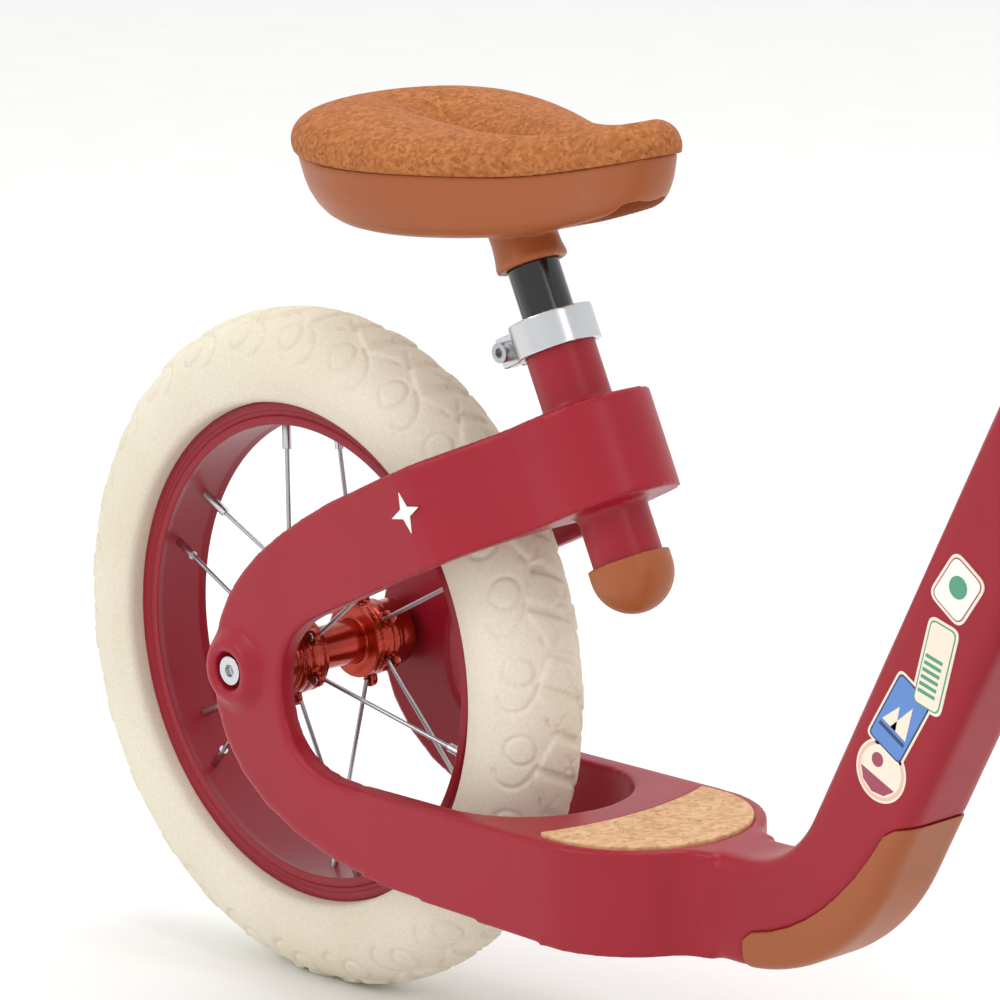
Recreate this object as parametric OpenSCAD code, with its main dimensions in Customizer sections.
// Child's balance bike: a cast one-piece frame, two spoked foam-tyred wheels,
// a sliding saddle and a sliding handlebar. Millimetres, +X forward, +Z up,
// origin on the floor midway between the wheels.

/* [Wheels] */
// Distance between the two axles
wheelbase = 572; // [560:1:600]
// Outside diameter of each tyre
wheel_od = 300; // [296:1:304]
// Width of each tyre
tyre_w = 50; // [46:1:52]
// Radius of the rim's outer edge
rim_r = 111; // [109:0.5:113]
// Width of the rim
rim_w = 29; // [27:0.5:31]
// Pairs of spokes in each wheel
spoke_pairs = 6; // [4:1:8]
// Spoke diameter
spoke_d = 2; // [1.6:0.1:2.4]

/* [Frame] */
// Outside width over the two side bands
band_w = 108; // [104:1:112]
// Thickness of a side band
band_t = 10; // [8:0.5:11]
// Height of the footrest's upper face above the floor
footrest_z = 112; // [108:1:116]
// Radius of the footrest's round front
footrest_r = 54; // [52:1:56]
// Width of the main beam
beam_w = 38; // [34:1:42]
// Depth of the main beam
beam_d = 45; // [41:1:47]
// Corner radius of the main beam
beam_r = 8; // [6:0.5:9]
// Slope of the main beam from level, in degrees
beam_slope = 62; // [60:0.5:64]

/* [Saddle] */
// Lean of the seat tube from upright, in degrees
seat_lean = 25; // [23:0.5:27]
// Outside diameter of the seat tube
seat_tube_d = 30; // [29:0.5:32]
// Diameter of the seat post and of the handlebar tube
post_d = 22.2; // [22:0.1:22.4]
// Radius of the saddle's wide rear
saddle_rear_r = 65; // [60:1:68]
// Radius of the saddle's nose
saddle_nose_r = 24; // [21:1:26]

/* [Steering] */
// Angle of the steering axis from level, in degrees
head_angle = 70; // [68:0.5:72]
// Distance of the front axle ahead of the steering axis
fork_rake = 25; // [20:1:30]
// Length of the head tube
head_len = 90; // [84:1:96]
// Overall width of the handlebar
bar_w = 400; // [380:5:420]
// Distance of the handlebar above the middle of the head tube
bar_rise = 160; // [150:1:170]

/* [Hidden] */
$fn = 64;
axle_z = wheel_od / 2;
rear_x = -wheelbase / 2;
front_x = wheelbase / 2;
slide_gap = 0.1;
post_r = post_d / 2;
bore_r = post_r + slide_gap;
band_y = band_w / 2;
band_in_y = band_y - band_t;

// Side bands: lines and corner points measured from the rear axle along X
band_top = [105, 253.5];
band_low = [104.5, 206];
band_rise = tan(seat_lean);
band_rear = -16;
band_split = 80;
lap_step = 0.03;
window_rear = 28.5;
footrest_low = footrest_z - beam_d;
footrest_x = 191;
footrest_fillet = 18;
wheel_gap_r = 44;
wheel_gap_x = 127;
boss_r = 17;
boss_top_r = 14;
boss_y = 59.5;
bolt_seat_y = 53;
recess_r = 8.5;

// Main beam: a level neck, one bend, and a straight run to the head tube
bend_x = 263;
bend_in = 48;
bend_z = footrest_z + bend_in;
bend_mid = bend_in + beam_d / 2;
beam_foot = [bend_x + bend_mid * sin(beam_slope), bend_z - bend_mid * cos(beam_slope)];

// Steering axis: the head tube's middle is where it crosses the beam
head_lean = 90 - head_angle;
axis_foot = wheelbase - fork_rake / cos(head_lean);
head_z = (axis_foot + axle_z * tan(head_lean) - beam_foot[0] + beam_foot[1] / tan(beam_slope))
    / (1 / tan(beam_slope) + tan(head_lean));
head_x = axis_foot - (head_z - axle_z) * tan(head_lean);
beam_len = (head_z - beam_foot[1]) / sin(beam_slope);
head_r = 21;
cup_h = 4;
race_h = 3.5;
ball_gap = 5;
steerer_r = 14.3;
steerer_top = head_len / 2 + 32;
crown_top = -(head_len / 2 + cup_h + ball_gap + race_h);
crown_h = 28;
crown_half = 16;
blade_end_r = 18;
stem_low = -20;
clamp_h = 15;

// Seat tube: its lower end, and stations along its axis
seat_foot = [188, 220];
seat_top = 104;
seat_clamp_s = 91;
post_low = 24;
post_top = 152;
boss_low = 128;
cap_r = 17.5;

// Plane between the saddle's pad and base
seam_z = 376;
seam_tilt = 3.5;

// Hub and bearings
flange_y = 22;
flange_t = 3;
ear_r = 19;
ear_first = 96.6;
nipple_swing = 7;
nipple_mid = 94.5;
hub_half = 38;
bearing_r = 11;
bearing_w = 6;
axle_r = 5;
race_in_r = 6.5;
race_out_r = 9.2;

steel = [0.75, 0.76, 0.78];
black = [0.08, 0.08, 0.09];
red = [0.62, 0.10, 0.17];
brown = [0.62, 0.36, 0.16];
cream = [0.89, 0.86, 0.78];
cork = [0.80, 0.58, 0.38];

// ---- placing helpers ----

// Frame measured from the rear axle, heights from the floor
module from_rear() { translate([rear_x, 0, 0]) children(); }

// Along the seat tube: local +Z up the tube, local +X forward and up
module at_seat() {
    from_rear() translate([seat_foot[0], 0, seat_foot[1]]) rotate([0, -seat_lean, 0]) children();
}

// Along the steering axis, from the middle of the head tube
module at_head() {
    from_rear() translate([head_x, 0, head_z]) rotate([0, -head_lean, 0]) children();
}

// About a wheel's axle: local +Z is the bike's -Y
module at_axle(x) { translate([x, 0, axle_z]) rotate([90, 0, 0]) children(); }

// A side view drawn in X and Z, made w wide across the bike
module side_slab(w) { rotate([90, 0, 0]) linear_extrude(w, center = true) children(); }

module both_sides() {
    children();
    mirror([0, 1, 0]) children();
}

module rod(a, b, r) {
    d = b - a;
    l = norm(d);
    translate(a) rotate([0, acos(d[2] / l), atan2(d[1], d[0])]) cylinder(r = r, h = l);
}

module tube(r_out, r_in, h) {
    difference() {
        cylinder(r = r_out, h = h);
        translate([0, 0, -1]) cylinder(r = r_in, h = h + 2);
    }
}

module rounded_rect(w, d, r) {
    square([w - 2 * r, d], center = true);
    square([w, d - 2 * r], center = true);
    for (x = [-1, 1], y = [-1, 1])
        translate([x * (w / 2 - r), y * (d / 2 - r)]) circle(r);
}

// Points on a cubic curve, without its first point
function curve(p, q, r, s, n = 8) = [
    for (i = [1 : n])
        let (t = i / n, u = 1 - t)
        u * u * u * p + 3 * u * u * t * q + 3 * u * t * t * r + t * t * t * s
];
function on_top(x, e) = [x, band_top[1] - e + (x - band_top[0]) * band_rise];
function on_low(x, e) = [x, band_low[1] + e + (x - band_low[0]) * band_rise];

// ---- frame ----

// Outline of the bands from the side, drawn thinner by e on each edge
module band_outline(e) {
    waist = [band_rear, 145];
    low = footrest_low + e;
    polygon(concat(
        [on_top(240, e), on_top(62, e)],
        curve(on_top(62, e), [15, 208], [band_rear, 185], waist),
        curve(waist, [band_rear, 104], [24, 71], [125, low + 3]),
        [[200, low], [260, low], [260, footrest_z - e], [300, footrest_z - e]]
    ));
}
module window_outline(e) {
    waist = [window_rear, 147];
    sill = footrest_z - 1 - e;
    polygon(concat(
        [on_low(320, e), on_low(50, e)],
        curve(on_low(50, e), [36, 173.5], [window_rear, 163], waist),
        curve(waist, [window_rear, 125], [40, sill], [72, sill]),
        [[190, sill + 1], [320, sill + 1]]
    ));
}
module bands_between(x_a, x_b, z_a, z_b, e = 0) {
    intersection() {
        difference() { band_outline(e); window_outline(e); }
        translate([x_a, z_a]) square([x_b - x_a, z_b - z_a]);
    }
}

// Loop around the seat tube, seen along the tube
module loop_plan() {
    outer = concat([[-320, band_y], [-62, band_y]],
        curve([-62, band_y], [-38, band_y], [-30, 30], [0, 30]));
    inner = concat([[-321, band_in_y], [-66, band_in_y]],
        curve([-66, band_in_y], [-44, band_in_y], [-26, 30], [-24, 0]));
    difference() {
        union() {
            polygon(concat(outer, [[0, 0], [-320, 0]]));
            mirror([0, 1]) polygon(concat(outer, [[0, 0], [-320, 0]]));
            circle(30);
        }
        polygon(concat(inner, [[-321, 0]]));
        mirror([0, 1]) polygon(concat(inner, [[-321, 0]]));
    }
}

// Bands, footrest and neck seen from above
module floor_plan() {
    reach = footrest_r + footrest_fillet;
    fy = beam_w / 2 + footrest_fillet;
    fx = footrest_x + sqrt(reach * reach - fy * fy);
    difference() {
        union() {
            translate([-30, -band_y]) square([footrest_x + 30, band_w]);
            translate([footrest_x, 0]) circle(footrest_r);
            difference() {
                translate([footrest_x, -fy]) square([fx - footrest_x, 2 * fy]);
                for (y = [-fy, fy]) translate([fx, y]) circle(footrest_fillet);
                for (s = [-1, 1])
                    polygon([[footrest_x + 20, s * (footrest_r + 9)], [fx + 1, s * (fy + 1)],
                        [fx, s * fy], [footrest_x + (fx - footrest_x) * footrest_r / reach,
                        s * fy * footrest_r / reach]]);
            }
        }
        translate([wheel_gap_x, 0]) circle(wheel_gap_r);
        translate([-31, -band_in_y]) square([wheel_gap_x + 31, 2 * band_in_y]);
    }
}

// Axle boss on a band's outer face, and the hole for its bolt
module axle_boss() {
    translate([0, 0, band_y - 4]) cylinder(r = boss_r, h = boss_y + 1 - band_y);
    translate([0, 0, band_y - 5]) cylinder(r = boss_top_r, h = boss_y + 5 - band_y);
}
module axle_boss_hole() {
    translate([0, 0, bolt_seat_y]) cylinder(r = recess_r, h = 20);
    translate([0, 0, band_in_y - 1]) cylinder(r = 3.2, h = 20);
}

// Beam's cross-section, each corner a fan of short flats
module beam_section(grow = 0) {
    r = beam_r + grow;
    x = beam_w / 2 - beam_r;
    y = beam_d / 2 - beam_r;
    polygon([for (c = [[x, y, 0], [-x, y, 90], [-x, -y, 180], [x, -y, 270]], a = [0 : 15 : 90])
        [c[0] + r * cos(c[2] + a), c[1] + r * sin(c[2] + a)]]);
}

// Sweeps its 2D child, drawn across the beam, from angle a to b of the bend
module along_bend(a, b) {
    translate([bend_x, 0, bend_z]) rotate([90, 0, 0]) rotate([0, 0, a - 90])
        rotate_extrude(angle = b - a, $fn = 96) translate([bend_mid, 0]) rotate(90) children();
}
// Extrudes its 2D child up the straight run, starting at the end of the bend
module along_beam(start, len) {
    translate([beam_foot[0], 0, beam_foot[1]]) rotate([0, 90 - beam_slope, 0])
        translate([0, 0, start]) linear_extrude(len) rotate(90) children();
}

module beam_bend(grow = 0) {
    along_bend(0, beam_slope) beam_section(grow);
    along_beam(-0.5, 60) beam_section(grow + lap_step);
}

// Bumper's outline from the side: a crescent along the outside of the bend
module bumper_outline() {
    polygon(concat([[270, 50], [270, 80], [275, 84]],
        curve([275, 84], [303, 89], [328, 110], [347, 139]),
        [[352, 142], [400, 152], [400, 50]]));
}
module bumper_shell() {
    intersection() {
        difference() {
            beam_bend(0.6);
            beam_bend(-2.4);
        }
        side_slab(beam_w + 10) bumper_outline();
    }
}

module frame() {
    color(red) difference() {
        union() {
            both_sides() from_rear() translate([0, -band_in_y - lap_step, 0]) rotate([90, 0, 0])
                linear_extrude(band_t - 2 * lap_step)
                    bands_between(-40, band_split + 2, 0, 400, lap_step);
            intersection() {
                from_rear() side_slab(band_w + 10) bands_between(band_split, 400, 145, 400);
                at_seat() translate([0, 0, -120]) linear_extrude(260) loop_plan();
            }
            intersection() {
                from_rear() side_slab(band_w + 10) bands_between(band_split, 258, 0, 145);
                from_rear() linear_extrude(200) floor_plan();
            }
            from_rear() translate([footrest_x, 0, footrest_z - beam_d / 2]) rotate([0, 90, 0])
                linear_extrude(bend_x - footrest_x) rotate(90) beam_section();
            from_rear() along_bend(0, beam_slope) beam_section();
            from_rear() along_beam(-0.5, beam_len) beam_section(lap_step);
            at_seat() translate([0, 0, -6]) cylinder(r = seat_tube_d / 2, h = seat_top + 6);
            at_head() translate([0, 0, -head_len / 2]) cylinder(r = head_r, h = head_len);
            at_axle(rear_x) axle_boss();
            at_axle(rear_x) mirror([0, 0, 1]) axle_boss();
        }
        at_seat() translate([0, 0, -10]) cylinder(r = bore_r, h = seat_top + 20);
        at_seat() translate([-20, -1.25, 74]) cube([20, 2.5, 40]);
        at_head() translate([0, 0, -head_len]) cylinder(r = 18, h = 2 * head_len);
        at_head() translate([0, 0, -head_len / 2 - 30]) cylinder(r = head_r + 2, h = 30);
        at_axle(rear_x) axle_boss_hole();
        at_axle(rear_x) mirror([0, 0, 1]) axle_boss_hole();
        from_rear() translate([0, 0, footrest_z - 2]) linear_extrude(10) pad_outline(0.4);
        from_rear() bumper_shell();
    }
}

// Crescent of cork let into the footrest
module pad_outline(gap = 0) {
    difference() {
        translate([footrest_x + 1, 0]) circle(footrest_r - 6 + gap);
        translate([55, 0]) circle(136 - gap);
    }
}
module footrest_pad() {
    color(cork) from_rear() translate([0, 0, footrest_z - 2]) linear_extrude(3.2) pad_outline();
}

module frame_bumper() {
    color(brown) from_rear() bumper_shell();
}

module seat_tube_cap() {
    color(brown) at_seat() difference() {
        union() {
            translate([0, 0, -5]) cylinder(r = cap_r, h = 5);
            intersection() {
                translate([0, 0, -5]) sphere(cap_r);
                translate([0, 0, -30]) cylinder(r = 30, h = 25);
            }
        }
        translate([0, 0, -6]) cylinder(r = seat_tube_d / 2, h = 10);
    }
}

// Split collar, its slot and ears facing rearwards, made about a tube of radius r
module split_collar(r, lip_r) {
    difference() {
        union() {
            cylinder(r = r + 3, h = clamp_h);
            translate([-r - 12, -8.5, 1]) cube([14, 17, clamp_h - 2]);
        }
        translate([0, 0, -1]) cylinder(r = r, h = clamp_h - 1);
        cylinder(r = lip_r, h = clamp_h + 1);
        translate([-r - 20, -1.25, -1]) cube([30, 2.5, clamp_h + 2]);
        collar_hole(r, 2.6);
    }
}
module collar_hole(r, hole_r) {
    translate([-r - 7, 0, clamp_h / 2]) rotate([90, 0, 0])
        cylinder(r = hole_r, h = 40, center = true);
}
module collar_bolt(r) {
    translate([-r - 7, -8.5, clamp_h / 2]) rotate([90, 0, 0]) difference() {
        union() {
            cylinder(r = 4.3, h = 4.6);
            translate([0, 0, -20]) cylinder(r = 2.4, h = 21);
        }
        translate([0, 0, 1.8]) cylinder(r = 2.3, h = 4, $fn = 6);
    }
}
module collar_nut(r) {
    translate([-r - 7, 8.5, clamp_h / 2]) rotate([-90, 0, 0]) difference() {
        cylinder(r = 4.6, h = 3.4, $fn = 6);
        translate([0, 0, -1]) cylinder(r = 2.5, h = 10);
    }
}

module at_seat_clamp() { at_seat() translate([0, 0, seat_clamp_s]) children(); }
module seat_clamp() {
    color("silver") at_seat_clamp() split_collar(seat_tube_d / 2, bore_r + 0.4);
}
module seat_clamp_bolt() { color(steel) at_seat_clamp() collar_bolt(seat_tube_d / 2); }
module seat_clamp_nut() { color(steel) at_seat_clamp() collar_nut(seat_tube_d / 2); }

// Headset cup: a flange outside the head tube, a sleeve inside, a ball groove outside
module headset_cup() {
    rotate_extrude() difference() {
        union() {
            translate([15.2, 0]) square([6.3, cup_h]);
            translate([15.2, -10]) square([2.8, 10]);
        }
        translate([18.2, cup_h + 1.9]) circle(2.6);
    }
}
module head_upper_cup() {
    color(black) at_head() translate([0, 0, head_len / 2]) headset_cup();
}
module head_lower_cup() {
    color(black) at_head() translate([0, 0, -head_len / 2]) mirror([0, 0, 1]) headset_cup();
}

// Four wordless stickers on each side of the beam, each cut where the next lies on it
module round_shape() { translate([0, 44]) circle(13); }
module blue_shape() { translate([-1, 69]) rotate(-4) rounded_rect(21, 34, 3); }
module green_shape() { translate([3, 98]) rotate(12) rounded_rect(16, 38, 4); }
module cream_shape() { translate([-2, 132]) rotate(-8) rounded_rect(20, 24, 5); }
module on_beam_sides() {
    from_rear() translate([beam_foot[0], 0, beam_foot[1]]) rotate([0, 90 - beam_slope, 0])
        both_sides() translate([0, -beam_w / 2 - lap_step, 0]) rotate([90, 0, 0])
            linear_extrude(0.5) children();
}
module sticker_round() {
    color("mistyrose") on_beam_sides() difference() { round_shape(); blue_shape(); }
}
module sticker_blue() {
    color("cornflowerblue") on_beam_sides() difference() { blue_shape(); green_shape(); }
}
module sticker_green() {
    color("seagreen") on_beam_sides() difference() { green_shape(); cream_shape(); }
}
module sticker_cream() { color("wheat") on_beam_sides() cream_shape(); }

// ---- wheels ----

module axle() {
    difference() {
        cylinder(r = axle_r, h = 2 * band_in_y, center = true);
        for (s = [-1, 1]) translate([0, 0, s * band_in_y])
            cylinder(r = 3, h = 32, center = true);
    }
}
module axle_bolts() {
    for (s = [0, 1]) mirror([0, 0, s]) difference() {
        union() {
            translate([0, 0, bolt_seat_y]) cylinder(r = 6.5, h = 4.5);
            translate([0, 0, band_in_y - 15]) cylinder(r = 3, h = bolt_seat_y - band_in_y + 16);
        }
        translate([0, 0, bolt_seat_y + 1.7]) cylinder(r = 2.9, h = 5, $fn = 6);
    }
}
module axle_spacers() {
    for (s = [0, 1]) mirror([0, 0, s])
        translate([0, 0, hub_half - 1]) tube(7, axle_r, band_in_y - hub_half + 1);
}
module bearing_place() {
    for (s = [0, 1]) mirror([0, 0, s]) translate([0, 0, hub_half - 1 - bearing_w]) children();
}
module bearing_inner_rings() { bearing_place() tube(race_in_r, axle_r, bearing_w); }
module bearing_outer_rings() { bearing_place() tube(bearing_r, race_out_r, bearing_w); }
module bearing_balls() {
    ball_r = (race_out_r - race_in_r - 0.3) / 2;
    bearing_place() for (i = [0 : 8]) rotate(i * 40)
        translate([race_out_r - ball_r, 0, bearing_w / 2]) sphere(ball_r, $fn = 24);
}

module tyre() {
    crown_r = wheel_od / 2 - tyre_w / 2;
    rotate_extrude($fn = 128) {
        intersection() {
            translate([crown_r, 0]) circle(tyre_w / 2);
            translate([rim_r + 0.3, -tyre_w]) square([100, 2 * tyre_w]);
        }
        translate([rim_r - 3, -12]) square([6, 24]);
    }
}

module rim() {
    h = rim_w / 2;
    difference() {
        rotate_extrude($fn = 128) difference() {
            polygon([[rim_r - 10.5, -h], [rim_r, -h], [rim_r, -h + 2.3], [rim_r - 3, -h + 2.3],
                [rim_r - 3, h - 2.3], [rim_r, h - 2.3], [rim_r, h], [rim_r - 10.5, h],
                [rim_r - 9.2, h - 4.5], [rim_r - 9.2, -h + 4.5]]);
            translate([rim_r - 7, -h + 3.5]) square([2.2, rim_w - 7]);
            for (s = [-1, 1]) translate([rim_r - 5, s * (h + 0.2)]) circle(1);
        }
        for (k = [0 : spoke_pairs - 1], s = [-1, 1]) {
            a = spoke_foot(k, s);
            c = spoke_tip(k, s);
            rod(a + (c - a) * 0.85, c, 2.3);
        }
    }
}

function polar(r, a, z) = [r * cos(a), r * sin(a), z];
function spoke_foot(k, s) =
    polar(ear_r, ear_first + k * 360 / spoke_pairs, s * (flange_y - flange_t / 2 - 1));
function spoke_tip(k, s) =
    polar(rim_r - 5.6, nipple_mid + k * 360 / spoke_pairs + s * nipple_swing, s * 3);
function towards(a, b, back) = b - (b - a) / norm(b - a) * back;

module spokes() {
    for (k = [0 : spoke_pairs - 1], s = [-1, 1]) {
        a = spoke_foot(k, s);
        out = [0, 0, s];
        rod(a, towards(a, spoke_tip(k, s), 12), spoke_d / 2);
        translate(a) sphere(spoke_d * 0.56, $fn = 24);
        rod(a, a + out * (flange_t + 1.5), spoke_d / 2);
        rod(a + out * (flange_t + 1), a + out * (flange_t + 2), spoke_d);
    }
}
module nipples() {
    for (k = [0 : spoke_pairs - 1], s = [-1, 1]) {
        a = spoke_foot(k, s);
        c = spoke_tip(k, s);
        difference() {
            union() {
                rod(towards(a, c, 17), c, 2);
                rod(towards(a, c, 0.8), c, 2.6);
            }
            rod(towards(a, c, 18), towards(a, c, 11.5), spoke_d / 2);
        }
    }
}

// Hub shell: barrel, ringed flange bodies, six-eared flanges, end caps
module hub() {
    difference() {
        union() {
            rotate_extrude() {
                translate([0, -hub_half]) square([9.7, 2 * hub_half]);
                for (s = [0, 1]) mirror([0, s]) {
                    translate([0, 14]) square([16.7, 2.6]);
                    translate([0, 16]) square([15.6, 14]);
                    translate([0, 17.6]) square([16.7, 2.4]);
                    translate([0, 24.5]) square([16.7, 3]);
                    translate([0, 29]) square([15, hub_half - 29]);
                }
            }
            for (s = [-1, 1]) translate([0, 0, s * flange_y]) flange();
        }
        cylinder(r = 7.5, h = 100, center = true);
        for (s = [0, 1]) mirror([0, 0, s])
            translate([0, 0, hub_half - 1 - bearing_w]) cylinder(r = bearing_r, h = 20);
    }
}
module flange() {
    linear_extrude(flange_t, center = true) difference() {
        union() {
            circle(17);
            for (k = [0 : spoke_pairs - 1]) rotate(ear_first + k * 360 / spoke_pairs)
                translate([ear_r - 0.5, 0]) circle(3.6);
        }
        for (k = [0 : spoke_pairs - 1]) rotate(ear_first + k * 360 / spoke_pairs)
            translate([ear_r, 0]) circle(spoke_d / 2 + 0.2);
    }
}

module rear_axle() { color(steel) at_axle(rear_x) axle(); }
module rear_axle_bolts() { color("silver") at_axle(rear_x) axle_bolts(); }
module rear_axle_spacers() { color(steel) at_axle(rear_x) axle_spacers(); }
module rear_bearing_inner_rings() { color(steel) at_axle(rear_x) bearing_inner_rings(); }
module rear_tyre() { color(cream) at_axle(rear_x) tyre(); }
module rear_rim() { color(red) at_axle(rear_x) rim(); }
module rear_hub() { color("darkred") at_axle(rear_x) hub(); }
module rear_spokes() { color(steel) at_axle(rear_x) spokes(); }
module rear_nipples() { color("silver") at_axle(rear_x) nipples(); }
module rear_bearing_outer_rings() { color(steel) at_axle(rear_x) bearing_outer_rings(); }
module rear_bearing_balls() { color("silver") at_axle(rear_x) bearing_balls(); }

module front_axle() { color(steel) at_axle(front_x) axle(); }
module front_axle_bolts() { color("silver") at_axle(front_x) axle_bolts(); }
module front_axle_spacers() { color(steel) at_axle(front_x) axle_spacers(); }
module front_bearing_inner_rings() { color(steel) at_axle(front_x) bearing_inner_rings(); }
module front_tyre() { color(cream) at_axle(front_x) tyre(); }
module front_rim() { color(red) at_axle(front_x) rim(); }
module front_hub() { color("darkred") at_axle(front_x) hub(); }
module front_spokes() { color(steel) at_axle(front_x) spokes(); }
module front_nipples() { color("silver") at_axle(front_x) nipples(); }
module front_bearing_outer_rings() { color(steel) at_axle(front_x) bearing_outer_rings(); }
module front_bearing_balls() { color("silver") at_axle(front_x) bearing_balls(); }

// ---- fork ----

// Where a point on the steering axis lies, measured from the rear axle
function axis_point(h) = [head_x - h * sin(head_lean), head_z + h * cos(head_lean)];

// Blades seen from the side: wide at the crown, round about the axle
module blade_outline() {
    along = [cos(head_lean), sin(head_lean)];
    top = axis_point(crown_top);
    knee = axis_point(crown_top - crown_h);
    axle_at = [wheelbase, axle_z];
    run = (axle_at - knee) / norm(axle_at - knee);
    across = [-run[1], run[0]];
    tip = [for (a = [0 : 12 : 180])
        axle_at - blade_end_r * cos(a) * across + blade_end_r * sin(a) * run];
    polygon(concat([top - crown_half * along, knee - crown_half * along], tip,
        [knee + crown_half * along, top + crown_half * along]));
}

// Fork seen along the bike: two blades under a rounded crown
module crown_outline() {
    reach = 230;
    arch_r = 34;
    difference() {
        union() {
            translate([-band_y, crown_top - reach]) square([band_w, reach - arch_r]);
            translate([-band_y + arch_r, crown_top - reach])
                square([band_w - 2 * arch_r, reach]);
            for (s = [-1, 1]) translate([s * (band_y - arch_r), crown_top - arch_r])
                circle(arch_r);
        }
        translate([-band_in_y, crown_top - reach - 1])
            square([2 * band_in_y, reach + 1 - crown_h - arch_r + band_t]);
        translate([-band_in_y + arch_r - band_t, crown_top - reach])
            square([2 * (band_in_y - arch_r + band_t), reach - crown_h]);
        for (s = [-1, 1])
            translate([s * (band_y - arch_r), crown_top - crown_h - arch_r + band_t])
                circle(arch_r - band_t);
    }
}

module fork() {
    color(red) difference() {
        union() {
            intersection() {
                from_rear() side_slab(band_w + 10) blade_outline();
                at_head() rotate([90, 0, 90]) linear_extrude(300, center = true)
                    crown_outline();
            }
            at_head() translate([0, 0, crown_top - 4])
                cylinder(r = steerer_r, h = steerer_top - crown_top + 4);
            at_axle(front_x) axle_boss();
            at_axle(front_x) mirror([0, 0, 1]) axle_boss();
        }
        at_head() translate([0, 0, crown_top + 10]) cylinder(r = bore_r, h = 300);
        at_head() translate([-20, -1.25, steerer_top - 26]) cube([20, 2.5, 40]);
        at_axle(front_x) axle_boss_hole();
        at_axle(front_x) mirror([0, 0, 1]) axle_boss_hole();
    }
}

// Ball races on the fork's side of the headset
module race() {
    rotate_extrude() difference() {
        translate([steerer_r, 0]) square([7.2, race_h]);
        translate([18.2, race_h + 1.3]) circle(2.1);
    }
}
module headset_balls() {
    for (i = [0 : 17]) rotate(i * 20) translate([18.2, 0, race_h + 1.3])
        sphere(2, $fn = 24);
}
module at_lower_race() { at_head() translate([0, 0, crown_top]) children(); }
module at_upper_race() {
    at_head() translate([0, 0, head_len / 2 + cup_h + ball_gap + race_h]) mirror([0, 0, 1])
        children();
}
module crown_race() { color(steel) at_lower_race() race(); }
module lower_headset_balls() { color("silver") at_lower_race() headset_balls(); }
module upper_headset_balls() { color("silver") at_upper_race() headset_balls(); }
module upper_cone() {
    color(black) at_upper_race() {
        race();
        difference() {
            translate([0, 0, -4]) cylinder(r = 19, h = 4);
            translate([0, 0, -5]) cylinder(r = steerer_r, h = 6);
        }
    }
}

module at_steerer_clamp() {
    at_head() translate([0, 0, steerer_top - clamp_h + 2]) children();
}
module steerer_clamp() { color("silver") at_steerer_clamp() split_collar(steerer_r, bore_r + 0.4); }
module steerer_clamp_bolt() { color(steel) at_steerer_clamp() collar_bolt(steerer_r); }
module steerer_clamp_nut() { color(steel) at_steerer_clamp() collar_nut(steerer_r); }

// ---- handlebar ----

// One side of the bar: level middle, rise, then a swept-back grip
bar_path = [[0, 0, 0], [0, 42, 0], [-8, 88, 20], [-34, bar_w / 2 - 4, 26]];
grip_len = 108;

module handlebar() {
    color(black) at_head() difference() {
        union() {
            translate([0, 0, stem_low]) cylinder(r = post_r, h = bar_rise - stem_low);
            translate([0, 0, bar_rise]) both_sides() {
                for (i = [0 : 2]) {
                    a = bar_path[i];
                    b = bar_path[i + 1];
                    lap = 3 / norm(b - a);
                    rod(i == 0 ? a : a - (b - a) * lap, i == 2 ? b : b + (b - a) * lap,
                        post_r - i * 0.05);
                }
            }
            translate([0, 0, bar_rise]) rotate([90, 0, 0])
                cylinder(r = post_r + 3, h = 36, center = true);
        }
        translate([0, 0, stem_low - 1]) cylinder(r = post_r - 1.8, h = bar_rise - stem_low);
    }
}

// Grip with an inner flange and a safety bulb over the bar's end
module grip() {
    a = bar_path[2];
    b = bar_path[3];
    d = b - a;
    l = norm(d);
    at_head() translate([0, 0, bar_rise]) translate(b)
        rotate([0, acos(d[2] / l), atan2(d[1], d[0])]) rotate_extrude() difference() {
            union() {
                translate([0, -grip_len + 4]) square([16, grip_len - 8]);
                translate([0, -grip_len + 4]) square([19.5, 4]);
                translate([0, -14]) square([19.5, 14]);
                translate([0, -4]) square([16, 8]);
                translate([15.5, 0]) circle(4);
                translate([15.5, -14]) circle(4);
            }
            translate([-1, -grip_len]) square([1 + post_r, grip_len]);
            translate([-10, -grip_len]) square([10, 2 * grip_len]);
        }
}
module left_grip() { color(brown) grip(); }
module right_grip() { color(brown) mirror([0, 1, 0]) grip(); }

// ---- saddle ----

module seat_post() {
    color(black) at_seat() translate([0, 0, post_low]) tube(post_r, post_r - 1.8, post_top - post_low);
}
module seat_post_plug() {
    color(black) at_seat() {
        translate([0, 0, post_low - 3]) cylinder(r = post_r - 0.3, h = 3);
        translate([0, 0, post_low]) cylinder(r = post_r - 1.8, h = 12);
    }
}

// A disc of the saddle's outline, standing on low, its upper rim eased
module lobe(x, r, low, high, ease = 5) {
    translate([x, 0, low]) {
        cylinder(r = r - ease, h = high - low, $fn = 32);
        cylinder(r = r, h = high - low - ease, $fn = 32);
    }
}
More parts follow.
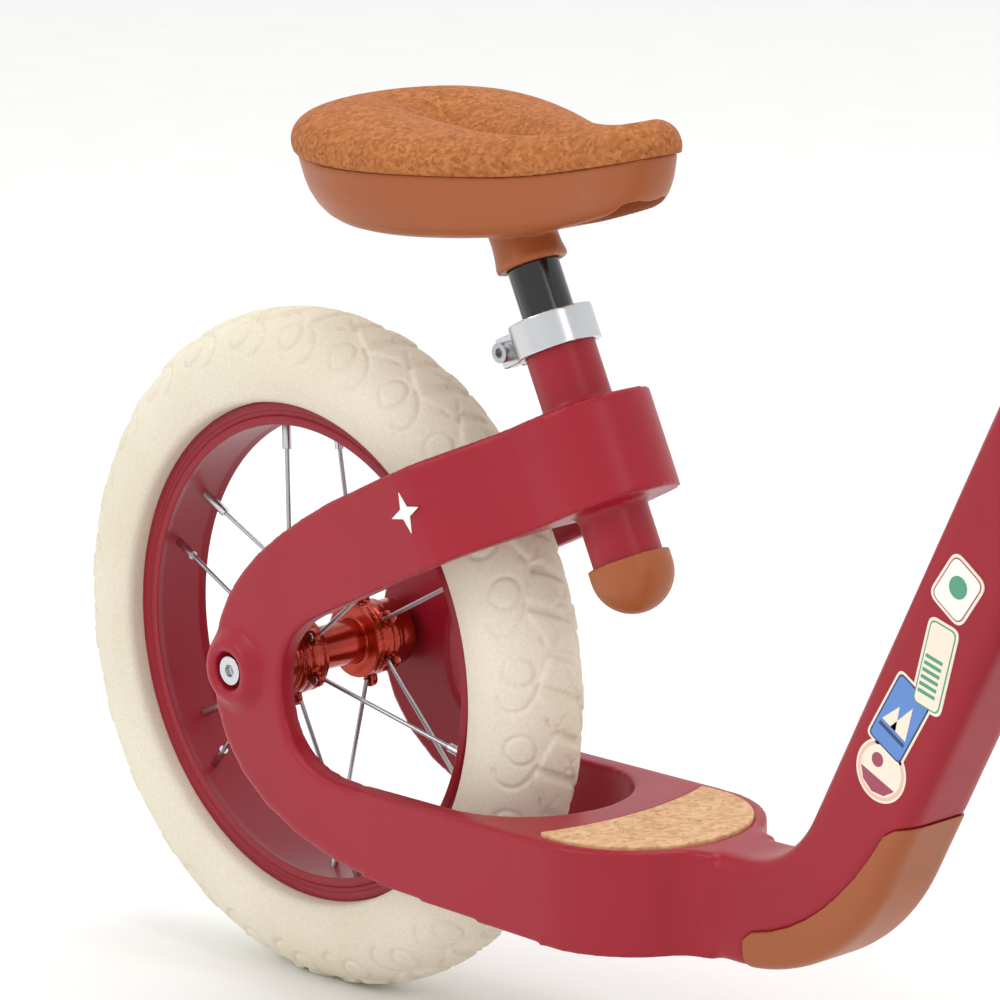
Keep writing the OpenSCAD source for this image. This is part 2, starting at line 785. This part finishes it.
// On the plane where the pad meets the base, rising to the nose
module at_seam() {
    from_rear() translate([0, 0, seam_z]) rotate([0, -seam_tilt, 0]) children();
}
module saddle_base() {
    color(brown) difference() {
        union() {
            at_seam() hull() {
                translate([82, 0, -5]) cylinder(r = saddle_rear_r - 3, h = 5, $fn = 32);
                translate([188, 0, -6]) cylinder(r = saddle_nose_r - 2, h = 6, $fn = 32);
                translate([82, 0, -27]) cylinder(r = 36, h = 1, $fn = 32);
                translate([130, 0, -27]) cylinder(r = 22, h = 1, $fn = 32);
            }
            at_seat() translate([0, 0, boss_low]) cylinder(r = 14.2, h = 36);
        }
        at_seat() translate([0, 0, boss_low - 1]) cylinder(r = post_r, h = post_top - boss_low + 1);
        grip_hollow();
        saddle_screw_places() translate([0, 0, -60]) cylinder(r = 5, h = 52);
    }
}
// Finger hollow under the nose
module grip_hollow() {
    from_rear() translate([156, -11, 330]) cube([36, 22, 47]);
}
module saddle_screw_places() {
    at_seam() for (y = [-34, 34]) translate([66, y, 0]) children();
}
module saddle_pad() {
    color(cork) at_seam() hull() {
        lobe(82, saddle_rear_r, 0, 25);
        lobe(118, 46, 0, 24);
        lobe(188, saddle_nose_r, 0, 18);
    }
}
module saddle_screws() {
    color("silver") saddle_screw_places() translate([0, 0, -12]) difference() {
        cylinder(r = 4, h = 4);
        translate([0, 0, -1]) cylinder(r = 1.6, h = 2.6, $fn = 6);
    }
}

frame();
footrest_pad();
frame_bumper();
seat_tube_cap();
seat_clamp();
seat_clamp_bolt();
seat_clamp_nut();
head_upper_cup();
head_lower_cup();
sticker_round();
sticker_blue();
sticker_green();
sticker_cream();
rear_axle();
rear_axle_bolts();
rear_axle_spacers();
rear_bearing_inner_rings();
rear_tyre();
rear_rim();
rear_hub();
rear_spokes();
rear_nipples();
rear_bearing_outer_rings();
rear_bearing_balls();
fork();
crown_race();
upper_cone();
lower_headset_balls();
upper_headset_balls();
steerer_clamp();
steerer_clamp_bolt();
steerer_clamp_nut();
front_axle();
front_axle_bolts();
front_axle_spacers();
front_bearing_inner_rings();
front_tyre();
front_rim();
front_hub();
front_spokes();
front_nipples();
front_bearing_outer_rings();
front_bearing_balls();
handlebar();
left_grip();
right_grip();
seat_post();
seat_post_plug();
saddle_base();
saddle_pad();
saddle_screws();
